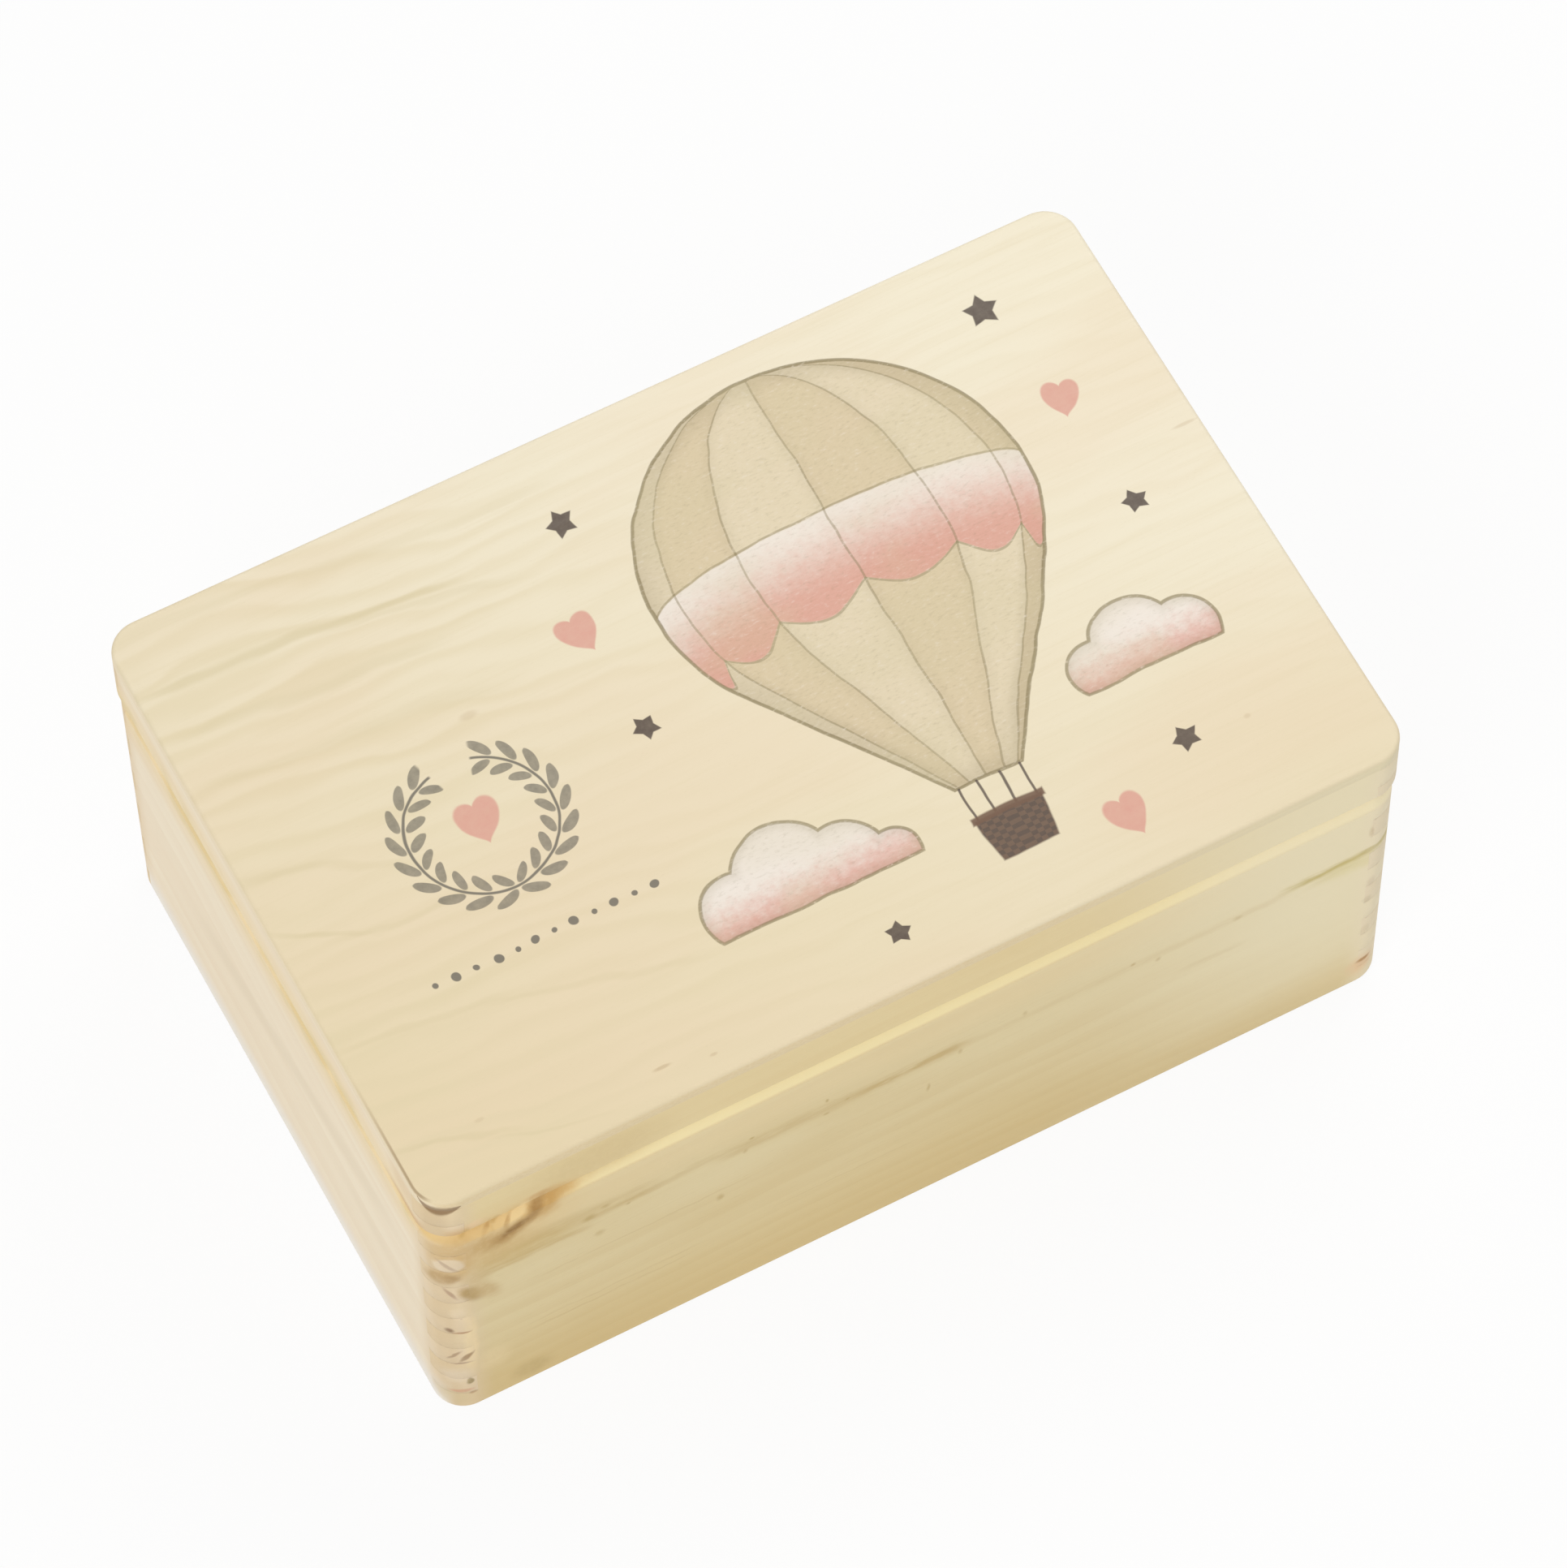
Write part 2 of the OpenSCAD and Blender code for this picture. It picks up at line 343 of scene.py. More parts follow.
def wrapField(f):
    # unrolls the outside: `around` runs along the front as x does and on round the corners,
    # `level` is the height, drawn out on the case's flank of the V groove
    spec = fingers
    innerX = f.x.most(-spec["cornerX"]).least(spec["cornerX"])
    innerY = f.y.most(-spec["cornerY"]).least(spec["cornerY"])
    outX = f.x - innerX
    outY = f.y - innerY
    turn = f.math("ARCTAN2", outX, -outY)
    around = innerX + turn * spec["wrapRadius"] + f.math("SIGN", outX) * (innerY + spec["cornerY"])
    flank = (f.z - spec["grooveLow"]).most(0).least(spec["caseEdge"] - spec["grooveLow"])
    flank = flank * f.z.ease(spec["lidEdge"], spec["caseEdge"])
    reach = (outX * outX + outY * outY) ** 0.5
    return around, f.z + flank * spec["flankStretch"], flank.ease(0, 0.6), reach


pineGrain = {
    # turns of each pattern per millimetre: along the board, across it and through it
    "sway": (0.0055, 0.012, 0.012),
    "ripple": (0.02, 0.06, 0.06),
    "fibre": (0.03, 1.3, 1.3),
    "cloud": (0.011, 0.035, 0.035),
    "pores": (0.1, 1.0, 1.0),
    "endDots": (1.4, 1.4, 1.4),
    "poreSize": 0.16,
    "poreTint": 0.2,
    "faintRing": 0.25,  # the strength of the faintest year ring
    "endTint": 0.85,
    "roughness": 0.54,
    "relief": 0.1,
}


def pineFigure(f, place, spec):
    # year rings round a pith line that wanders a little: how late in its year each place grew
    along, across, through = f.split(place)
    sway = f.noise(place, pineGrain["sway"], 2.0, 0.5, spec["seed"]) - 0.5
    ripple = f.noise(place, pineGrain["ripple"], 3.0, 0.55, spec["seed"] + 4) - 0.5
    side = across - spec["pith"][0] + sway * spec["sway"] + along * spec["slope"]
    deep = through - spec["pith"][1]
    radius = (side * side + deep * deep) ** 0.5 + ripple * spec["ripple"]
    rings = radius / spec["ring"]
    year = rings % 1
    strength = f.chance(rings.floor()) * (1 - pineGrain["faintRing"]) + pineGrain["faintRing"]
    return year.ease(0.1, 0.85) * year.ease(1.0, 0.9) * strength


def pineColour(f, along, across, through, endSide, spec):
    # endSide is the part of the face's direction that runs along the board
    place = f.join(along, across, through)
    late = pineFigure(f, place, spec)
    fibre = f.noise(place, pineGrain["fibre"], 4.0, 0.6, spec["seed"] + 2)
    cloud = f.noise(place, pineGrain["cloud"], 3.0, 0.55, spec["seed"] + 6)
    pores = f.specks(place, pineGrain["pores"], pineGrain["poreSize"], spec["seed"])
    colour = f.mix(late * spec["figure"], spec["early"], spec["late"])
    colour = f.mix(cloud.ease(0.35, 0.72) * spec["blush"], colour, spec["warm"])
    colour = f.mix(fibre.ease(0.46, 0.76) * spec["fibre"], colour, spec["late"])
    colour = f.mix(pores * pineGrain["poreTint"], colour, spec["pore"])
    # across the fibres the wood is a little pinker and duller
    cut = abs(endSide).ease(0.55, 0.9)
    dots = f.noise(place, pineGrain["endDots"], 2.0, 0.6, spec["seed"] + 5)
    endColour = f.mix(late * 0.4 + dots.ease(0.5, 0.75) * 0.3, spec["endLight"], spec["endDark"])
    colour = f.mix(cut * pineGrain["endTint"], colour, endColour)
    rough = fibre * 0.14 + cut * 0.12 + pineGrain["roughness"]
    return colour, rough, fibre


frontPine = {
    "early": paint(237, 220, 174),
    "late": paint(221, 196, 141),
    "warm": paint(226, 203, 149),
    "pore": paint(190, 162, 108),
    "endLight": paint(236, 217, 180),
    "endDark": paint(222, 196, 154),
    "pith": (78, -52),  # where the tree's middle ran, across and through the board
    "ring": 5.2,  # the width of a year
    "sway": 16,
    "ripple": 2.6,
    "slope": 0.02,
    "figure": 0.34,  # strengths of the rings, of the fibres and of the warm clouds
    "fibre": 0.2,
    "blush": 0.5,
    "seed": 3.0,
    # resin lines: start, end, half width, strength, tone
    "lines": [
        ((-138, 84), (-112, 83), 6.5, 0.55, "ochre"),
        ((-140, 79.5), (-104, 78), 2.6, 0.6, "ochre"),
        ((-124, 88), (-84, 84), 5.5, 0.45, "ochre"),
        ((-108, 81), (-60, 84), 3.0, 0.35, "ochre"),
        ((-62, 81), (12, 80), 4.6, 0.5, "ochre"),
        ((-18, 80), (10, 80.5), 2.4, 0.5, "ochre"),
        ((12, 79), (112, 77), 3.0, 0.2, "ochre"),
        ((114, 79), (152, 80), 3.0, 0.75, "olive"),
        ((124, 79.2), (150, 80), 1.1, 0.5, "ochre"),
        ((122, 76.5), (152, 77), 5.0, 0.3, "olive"),
        ((82, 61), (98, 60.5), 2.4, 0.25, "ochre"),
        ((-125, 35.5), (-72, 35), 0.7, 0.3, "ochre"),
        ((-122, 32), (-75, 31.5), 0.7, 0.3, "ochre"),
        ((-45, 35.5), (-5, 35), 0.6, 0.25, "ochre"),
        ((-118, 62), (-58, 61.5), 0.7, 0.3, "ochre"),
    ],
    "dots": [
        # centre, half size, strength
        ((-103, 83), (3.2, 2.4), 0.75),
        ((-98, 85.5), (1.8, 1.5), 0.55),
        ((-91, 80.5), (1.3, 1.0), 0.6),
        ((-53, 84), (1.2, 1.0), 0.8),
        ((-55, 78), (1.3, 1.9), 0.5),
        ((-30, 85), (0.9, 1.4), 0.8),
        ((-30.5, 77.5), (1.2, 1.1), 0.6),
        ((-24, 80.5), (1.3, 1.0), 0.6),
        ((11, 76.5), (1.5, 1.9), 0.5),
        ((31, 81), (1.1, 1.9), 0.4),
        ((65, 79), (1.2, 1.5), 0.6),
        ((73, 75), (1.6, 1.6), 0.45),
        ((98, 77), (2.2, 1.8), 0.35),
        ((-100, 71), (2.4, 2.2), 0.45),
        ((-63.5, 57.5), (1.4, 2.8), 0.6),
        ((1, 64), (1.0, 3.4), 0.6),
    ],
}

resin = {
    # heights where the tone of the rim begins and is full, on the case and on the lid
    "rimLevels": (82, 96),
    "lidLevels": (104, 112),
    "rimTint": 0.45,
    "paleSpan": (25, 130),
    "footTint": 0.6,
    "patches": (0.07, 0.4, 0.4),
    "olive": paint(204, 184, 106),
    "ochre": paint(208, 180, 120),
    "dot": paint(200, 172, 110),
    "foot": paint(224, 196, 132),
    "upper": paint(248, 226, 178),
    "lid": paint(248, 223, 165),
    "pale": paint(250, 238, 202),
}


def frontMarks(f, colour, flat, spec):
    along, across, _ = f.split(flat)
    # the board is paler along the seam and at its right end, and more ochre towards its foot
    upper = f.mix(across.ease(*resin["lidLevels"]), resin["upper"], resin["lid"])
    colour = f.mix(across.ease(*resin["rimLevels"]) * resin["rimTint"], colour, upper)
    pale = along.ease(*resin["paleSpan"]) * (across.ease(0, 60) * 0.35 + 0.5)
    colour = f.mix(pale, colour, resin["pale"])
    foot = (across.ease(66, 2) * along.ease(150, 0)).most(across.ease(32, 4) * 0.75)
    colour = f.mix(foot * resin["footTint"], colour, resin["foot"])
    patchy = f.noise(f.point, resin["patches"], 3.0, 0.6, 31).ease(0.2, 0.6)
    for tone in ("ochre", "olive"):
        lines = 0
        for start, end, width, strength, lineTone in spec["lines"]:
            if lineTone == tone:
                lines = f.streak(along, across, start, end, width) * strength + lines
        colour = f.mix((lines * patchy).least(0.85), colour, resin[tone])
    dots = 0
    for centre, size, strength in spec["dots"]:
        dots = f.blot(flat, centre, size, 0, 0.1) * strength + dots
    return f.mix(dots.least(0.8), colour, resin["dot"])


def leftMarks(f, colour, flat, spec):
    along, across, _ = f.split(flat)
    bands = 0
    for start, end, width, strength in spec["bands"]:
        bands = f.streak(along, across, start, end, width, spec["bandFade"]) * strength + bands
    return f.mix(bands, colour, spec["bandTone"])


# marks on the unrolled outside, most of them round the near corner:
# centre (around, level), half size, turn, core, colour, strength, share that is broken up
nearMarks = [
    # broad tones of the corner and beside it
    ((-126, 100), (28, 24), 0, 0.2, paint(234, 202, 142), 0.5, 0.2),
    ((-100, 118), (32, 16), 0, 0.2, paint(228, 204, 150), 0.75, 0.3),
    ((-160, 122), (11, 9), 0, 0.2, paint(236, 210, 168), 0.75, 0.2),
    ((-123, 8), (9, 7), 0, 0.2, paint(206, 180, 120), 0.7, 0.3),
    ((-147, 7), (8, 7), 0, 0.3, paint(220, 200, 156), 0.55, 0.2),
    ((-145.5, 21.5), (7.5, 6), 0, 0.3, paint(242, 226, 202), 0.45, 0.2),
    ((-140.6, 42), (2.8, 26), 0, 0.3, paint(254, 230, 181), 0.65, 0.2),
    ((-143.4, 61), (3.4, 5), 0, 0.3, paint(250, 229, 194), 0.5, 0.2),
    ((-141, 92), (3, 15), 0, 0.3, paint(228, 192, 128), 0.4, 0.2),
    ((-134, 25), (7, 9), 0, 0.2, paint(250, 228, 182), 0.4, 0.3),
    ((-131, 89), (19, 13), 0, 0.1, paint(214, 181, 116), 0.6, 0.3),
    ((-119, 82.5), (18, 7), 0, 0.2, paint(214, 186, 120), 0.45, 0.4),
    # the knot beside the groove, its glow first and its dark rim last
    ((-122, 107), (24, 9), 4, 0.4, paint(230, 194, 128), 0.75, 0.4),
    ((-137, 107), (11, 6.5), 0, 0.4, paint(234, 198, 132), 0.65, 0.4),
    ((-136.5, 113.5), (4, 3), 0, 0.2, paint(252, 220, 176), 0.5, 0.2),
    ((-110, 109), (8, 6.5), -34, 0.2, paint(226, 190, 124), 0.8, 0.3),
    ((-134, 97.5), (10, 7), 10, 0.1, paint(206, 168, 104), 0.8, 0.3),
    ((-139.5, 110), (1.8, 4.5), -10, 0.3, paint(210, 172, 100), 0.6, 0.3),
    ((-133.2, 106.5), (1.3, 7.5), -12, 0.3, paint(200, 156, 92), 0.65, 0.3),
    ((-130.2, 110), (2.2, 3.2), 0, 0.3, paint(206, 168, 98), 0.6, 0.3),
    ((-135, 105), (3.6, 5.0), 30, 0.4, paint(240, 208, 146), 0.6, 0.5),
    ((-128.5, 106), (2.6, 6.4), -16, 0.5, paint(244, 212, 150), 0.85, 0.3),
    ((-123.4, 107), (2.7, 7.5), -22, 0.5, paint(251, 224, 166), 0.95, 0.15),
    ((-126.3, 104.5), (1.2, 6.0), -14, 0.3, paint(200, 154, 88), 0.6, 0.3),
    ((-115.4, 105.5), (7.0, 12), -12, 0.3, paint(212, 170, 100), 0.9, 0.2),
    ((-118.4, 105), (3.4, 10.5), -16, 0.2, paint(176, 136, 78), 0.9, 0.25),
    ((-125.4, 97.4), (12.5, 5.2), 30, 0.2, paint(186, 144, 76), 0.95, 0.3),
    ((-124.6, 98.4), (7.0, 2.6), 30, 0.2, paint(146, 106, 44), 0.8, 0.3),
    ((-118, 113.2), (5.0, 2.6), 6, 0.2, paint(214, 172, 112), 0.7, 0.3),
    # rubbed patches below it and on the corner
    ((-139.3, 71.5), (3.9, 8.5), 26, 0.3, paint(188, 156, 96), 0.9, 0.2),
    ((-135.0, 70.0), (4.6, 10.0), 28, 0.2, paint(210, 180, 124), 0.8, 0.3),
    ((-137, 79), (6.5, 6.0), 0, 0.2, paint(216, 188, 134), 0.6, 0.4),
    ((-144, 96), (10, 19), 0, 0.2, paint(218, 184, 126), 0.85, 0.3),
    ((-147, 83.5), (8.0, 5.0), 10, 0.3, paint(196, 164, 114), 0.9, 0.3),
    ((-144, 83), (3.4, 3.2), 0, 0.2, paint(184, 150, 100), 0.8, 0.3),
    # chips between the fingers, from the top one down
    ((-145.2, 91.5), (5.0, 4.6), 14, 0.7, paint(240, 222, 194), 0.75, 0.15),
    ((-145.6, 91.5), (6.0, 1.1), -52, 0.4, paint(190, 162, 134), 0.7, 0.3),
    ((-145.2, 74), (1.1, 5.6), 28, 0.3, paint(182, 148, 120), 0.75, 0.2),
    ((-146.3, 50.6), (1.8, 2.2), 35, 0.2, paint(140, 104, 72), 0.85, 0.3),
    ((-143.3, 49), (3.4, 0.8), 0, 0.3, paint(198, 152, 110), 0.85, 0.2),
    ((-145.6, 34.5), (1.0, 4.6), -40, 0.3, paint(176, 144, 112), 0.8, 0.2),
    ((-142, 33), (1.3, 4.4), -34, 0.3, paint(166, 132, 94), 0.85, 0.2),
    ((-144, 29.4), (4.4, 0.7), 0, 0.3, paint(188, 154, 126), 0.7, 0.2),
    ((-141.8, 17.2), (1.4, 2.6), 0, 0.4, paint(144, 124, 70), 0.8, 0.2),
    ((-144.6, 11.6), (5.0, 1.2), 6, 0.3, paint(224, 172, 136), 0.8, 0.2),
    ((-141.5, 9.8), (2.0, 1.2), 0, 0.3, paint(190, 150, 108), 0.7, 0.2),
    # the right end
    ((141, 10.5), (6.5, 8.0), 0, 0.1, paint(240, 198, 150), 0.7, 0.2),
    ((141.6, 13.0), (3.2, 1.5), 10, 0.2, paint(184, 134, 76), 0.9, 0.1),
    ((136, 75.5), (17, 6.5), 0, 0.2, paint(238, 224, 164), 0.5, 0.4),
    ((146, 81), (6.0, 2.2), 18, 0.3, paint(204, 186, 112), 0.8, 0.2),
    ((139.5, 80.2), (5.5, 1.9), 6, 0.3, paint(202, 184, 112), 0.6, 0.2),
    ((139.8, 90.6), (1.0, 4.4), 4, 0.2, paint(208, 184, 144), 0.55, 0.3),
    ((141, 49.8), (2.2, 2.6), 0, 0.2, paint(212, 194, 158), 0.5, 0.3),
    ((141.6, 60), (2.4, 4), 0, 0.2, paint(226, 206, 174), 0.5, 0.3),
    ((140.6, 32), (2.6, 3.6), 0, 0.2, paint(224, 206, 168), 0.5, 0.3),
]

# colours of the painted highlight on the groove's flank and beside it, and of the darker band on
# the lid above it at the corner
seam = {
    "front": paint(255, 241, 192),
    "frontEnd": paint(255, 243, 206),
    "corner": paint(238, 206, 142),
    "left": paint(249, 229, 186),
    "patch": paint(234, 212, 158),
    "lip": paint(220, 182, 126),
    "near": paint(246, 221, 172),
    # stretches along the unrolled outside
    "cornerSpans": ((-176, -158), (-128, -140)),
    "endSpan": (60, 110),
    "sideSpan": (152, 162),
    "nearLevels": (84, 101),
    "waver": 6,
    "lipLow": 111.2,
}


def paintedSeamHighlight(f, colour, around, level, flank, front):
    # painted highlight: the case's flank of the V groove is painted pale yellow for the light it
    # catches from above, and the board beside it at the near corner and on the left is painted
    # yellower too
    leftSpan, rightSpan = seam["cornerSpans"]
    atCorner = around.ease(*leftSpan) * around.ease(*rightSpan)
    if front:
        tone = f.mix(around.ease(*seam["endSpan"]), seam["front"], seam["frontEnd"])
    else:
        patches = f.noise(f.join(around, level), (0.045, 0.06, 0.06), 3.0, 0.6, 71).ease(0.38, 0.62)
        tone = f.mix(patches * 0.8, seam["left"], seam["patch"])
        board = abs(around).ease(*seam["sideSpan"])
        near = level.ease(*seam["nearLevels"]) * f.z.ease(130, 114) * board
        colour = f.mix(near * 0.55, colour, seam["near"])
        wander = (f.noise(f.point, (0.08, 0.08, 0.08), 3.0, 0.6, 73) - 0.5) * seam["waver"]
        beside = (level + wander).ease(97, 101) * (f.z - wander).ease(120, 112.5) * board
        colour = f.mix(beside * (patches * 0.35 + 0.45), colour, tone)
    # at the corner itself the painted highlight covers only the groove's depth
    deep = (1 - atCorner * level.ease(107, 103)) * 0.92
    colour = f.mix(flank * deep, colour, f.mix(atCorner, tone, seam["corner"]))
    lip = f.z.ease(seam["lipLow"], seam["lipLow"] + 0.4) * f.z.ease(116.5, 111.5) * atCorner
    return f.mix(lip * 0.9, colour, seam["lip"])


jointArc = {
    "centre": -146,  # along the unrolled outside
    "reach": 6,  # to each side of it
    "level": 126.3,
    "bend": 2.8,  # how far both ends rise
    "lean": 1.2,  # the left end rises by so much more, the right end by so much less
    "width": 3.2,
    "colour": paint(138, 104, 62),
}


def jointShadowArc(f, colour, around, outside):
    # a dark smile under the panel's edge at the near corner, along the joint: partly a dark joint
    # line, partly painted shadow
    share = (around - jointArc["centre"]) / jointArc["reach"]
    width = (1 - share * share).most(0.02) * jointArc["width"]
    bend = share * share * (jointArc["bend"] - share * jointArc["lean"])
    distance = abs(f.z - jointArc["level"] - bend)
    mask = (distance / width).ease(1.0, 0.35) * outside * abs(share).ease(1.0, 0.97)
    return f.mix(mask * 0.85, colour, jointArc["colour"])


joint = {
    "tone": paint(236, 213, 176),
    "far": paint(248, 233, 200),
    "crest": paint(223, 199, 159),
    "line": paint(176, 146, 108),
    "chip": paint(166, 132, 96),
    "farSpan": (-60, 100),
    "crestSpans": ((-153.5, -149), (-142.5, -146.5)),
    "toneTint": 0.75,
    "lineTint": 0.15,
    "chipTint": 0.4,
}


def jointTone(f, colour, soft):
    # the rounded corners are dressed smooth: long and end grain look nearly alike there
    tone = f.mix(f.x.ease(*joint["farSpan"]), joint["tone"], joint["far"])
    return f.mix(soft * joint["toneTint"], colour, tone)


def crestShade(f, colour, around, level, flank):
    # painted shade: the crest of the near corner is painted darker than its flanks
    leftSpan, rightSpan = joint["crestSpans"]
    crest = around.ease(*leftSpan) * around.ease(*rightSpan) * (1 - flank)
    return f.mix(crest * (level.ease(88, 100) * 0.3 + 0.65), colour, joint["crest"])


def jointMarks(f, colour, height, zone, gap):
    # thin glue lines between the fingers, with torn grain beside a few of them
    torn = f.noise(f.point, (0.5, 0.5, 0.9), 3.0, 0.65, 61)
    line = gap.ease(0.28, 0.08) * torn.ease(0.25, 0.6)
    chip = gap.ease(1.4, 0.3) * torn.ease(0.62, 0.72)
    colour = f.mix(zone * line * joint["lineTint"], colour, joint["line"])
    colour = f.mix(zone * chip * joint["chipTint"], colour, joint["chip"])
    return colour, height - zone * line


floorLight = {
    # the floor lightens the foot of the left side
    "tone": paint(251, 245, 235),
    "levels": (22, 2),
    "facing": (-0.6, -0.95),
}

waver = {
    # the marks on the outside waver with the grain
    "scale": (0.12, 0.12, 0.12),
    "along": 3,
    "across": 2.4,
    "broken": (0.4, 0.4, 0.4),  # the scale of what breaks them up
    "sideFrom": 139,  # side boards carry only the marks farther out than this
}


def makePine(name, spec, side):
    # side: the board's outer face, as "front", "left", "right" or "back"
    f = PieceFinish(name)
    alongX = side in ("front", "back")
    along, through, endSide = (f.x, f.y, f.normal[0]) if alongX else (f.y, f.x, f.normal[1])
    plain, rough, height = pineColour(f, along, f.z, through, endSide, spec)
    zone, soft, gap = cornerField(f)
    colour = plain
    if side != "back":
        around, level, flank, reach = wrapField(f)
        outside = reach.ease(*fingers["skin"])
        wobble = f.noise(f.point, waver["scale"], 2.0, 0.6, 21) - 0.5
        flat = f.join(around + wobble * waver["along"], level - wobble * waver["across"])
        if side == "front":
            colour = frontMarks(f, colour, flat, spec)
        elif side == "left":
            colour = leftMarks(f, colour, flat, spec)
        colour = jointTone(f, colour, soft)
        colour = paintedSeamHighlight(f, colour, around, level, flank, side == "front")
        colour = crestShade(f, colour, around, level, flank)
        glow = level.ease(*floorLight["levels"]) ** 2 * f.normal[0].ease(*floorLight["facing"])
        colour = f.mix(glow, colour, floorLight["tone"])
        broken = f.noise(f.point, waver["broken"], 4.0, 0.65, 41).ease(0.3, 0.6)
        for centre, size, turn, core, tone, strength, breakup in nearMarks:
            outward = centre[0] if side == "right" else -centre[0]
            if side == "front" or outward > waver["sideFrom"]:
                mask = f.blot(flat, centre, size, turn, core) * (broken * breakup + (1 - breakup))
                colour = f.mix(mask * strength, colour, tone)
        colour = jointShadowArc(f, colour, around, outside)
        colour = f.mix(outside, plain, colour)
    else:
        colour = jointTone(f, colour, soft)
        _, _, flank, reach = wrapField(f)
        # painted highlight on the back board's flank of the V groove
        colour = f.mix(flank * reach.ease(*fingers["skin"]) * 0.6, colour, seam["left"])
    colour, height = jointMarks(f, colour, height, zone, gap)
    return f.surface(colour, rough, height, pineGrain["relief"])


# the left board is paler than the front board: partly its own tone, partly painted light, as the
# left side gets more light than the front
leftPine = {
    "early": paint(252, 238, 211),
    "late": paint(240, 219, 187),
    "warm": paint(246, 226, 196),
    "pore": paint(212, 186, 150),
    "endLight": paint(240, 222, 192),
    "endDark": paint(227, 204, 170),
    "pith": (40, -95),
    "ring": 5.2,
    "sway": 20,
    "ripple": 2.5,
    "slope": -0.06,
    "figure": 0.34,
    "fibre": 0.16,
    "blush": 0.4,
    "seed": 11.0,
    "bandTone": paint(238, 221, 191),
    "bandFade": 20,
    # soft bands of duller wood: start, end, half width, strength
    "bands": [
        ((-292, 47), (-172, 73), 9.0, 0.55),
        ((-210, 44), (-168, 45), 6.0, 0.3),
    ],
}
rightPine = dict(
    leftPine,
    seed=17.0,
    pith=(62, 104),
    slope=0.04,
    early=paint(243, 228, 198),
    figure=0.45,
)
backPine = dict(frontPine, seed=23.0, pith=(30, 48), slope=-0.015, figure=0.5)

dress(["front_wall", "lid_front_rail"], makePine("pineFront", frontPine, "front"))
dress(["left_wall", "lid_left_rail"], makePine("pineLeft", leftPine, "left"))
dress(["right_wall", "lid_right_rail"], makePine("pineRight", rightPine, "right"))
dress(["back_wall", "lid_back_rail"], makePine("pineBack", backPine, "back"))
print("pine boards finished")


# plywood panels: all lengths in millimetres
topPly = {
    "early": paint(247, 237, 211),
    "late": paint(230, 214, 174),
    "warm": paint(234, 215, 174),
    "blushTone": paint(240, 217, 184),
    "pore": paint(204, 182, 140),
    "endLight": paint(240, 220, 178),
    "endDark": paint(232, 209, 162),
    "farLight": paint(242, 231, 194),
    "sideLight": paint(252, 236, 206),
    "ring": 7.6,
    "slope": 0.09,
    "sway": 30,
    "ripple": 6,
    "figure": 0.62,
    # turns of each pattern per millimetre
    "waveScale": (0.012, 0.026, 0.026),
    "rippleScale": (0.032, 0.085, 0.085),
    "fibreScale": (0.03, 0.9, 0.9),
    "cloudScale": (0.008, 0.02, 0.02),
    "poreScale": (0.2, 1.6, 1.6),
    "poreSize": 0.13,
    "relief": 0.06,
    "veneer": 1.1,
    "glue": paint(190, 162, 118),
    "streakTone": paint(217, 201, 156),
    "streakFade": 9,
    # streaks: start, end, half width, strength
    "lines": [
        ((-148, 94), (-20, 86), 2.4, 0.35),
        ((-146, 76.5), (-58, 70), 2.2, 0.9),
        ((-90, 70), (-42, 64), 2.0, 0.5),
        ((-144, 60.5), (-70, 54), 2.8, 0.5),
        ((-144, 43), (-60, 36), 3.2, 0.4),
        ((-149, 11), (-128, 8), 2.2, 0.6),
        ((-130, 8), (-108, -2), 2.4, 0.45),
        ((-149, -3), (-128, -15), 1.8, 0.7),
        ((-132, -15), (-96, -19), 2.0, 0.45),
        ((-149, -45), (-100, -52), 1.6, 0.5),
        ((-108, -52), (-52, -66), 1.4, 0.4),
        ((-149, -80), (-118, -88), 1.3, 0.6),
        ((-124, -88), (-96, -96), 1.0, 0.4),
    ],
    "flecks": [
        # centre, half size, strength
        ((-75, -90), (3.6, 0.8), 0.8),
        ((-61, -93), (1.6, 0.7), 0.6),
        ((-125, -81), (2.0, 0.9), 0.35),
        ((115, -70), (1.4, 1.1), 0.4),
        ((-72, 30), (3.6, 1.8), 0.45),
        ((145, 19), (5.0, 0.8), 0.5),
    ],
    "fleck": paint(196, 168, 124),
}


def plies(f, colour, low, high, spec):
    # on a panel's edge: two face veneers and a core whose grain runs the other way
    veneer = spec["veneer"]
    depth = (f.z - low).least(high - f.z)
    core = depth.ease(veneer - 0.1, veneer + 0.1)
    edge = abs(f.normal[2]).ease(0.7, 0.4)
    grain = f.noise(f.point, (1.0, 0.9, 3.0), 3.0, 0.6, 81).ease(0.35, 0.7)
    tone = f.mix(grain, spec["endLight"], spec["endDark"])
    # painted light: the edge is painted paler towards the right end and where it faces left or
    # right
    tone = f.mix(f.x.ease(25, 130) * 0.8, tone, spec["farLight"])
    tone = f.mix(abs(f.normal[0]).ease(0.4, 0.9) * 0.7, tone, spec["sideLight"])
    colour = f.mix(edge * (core * 0.1 + 0.75), colour, tone)
    return f.mix(edge * abs(depth - veneer).ease(0.14, 0.04) * 0.06, colour, spec["glue"])


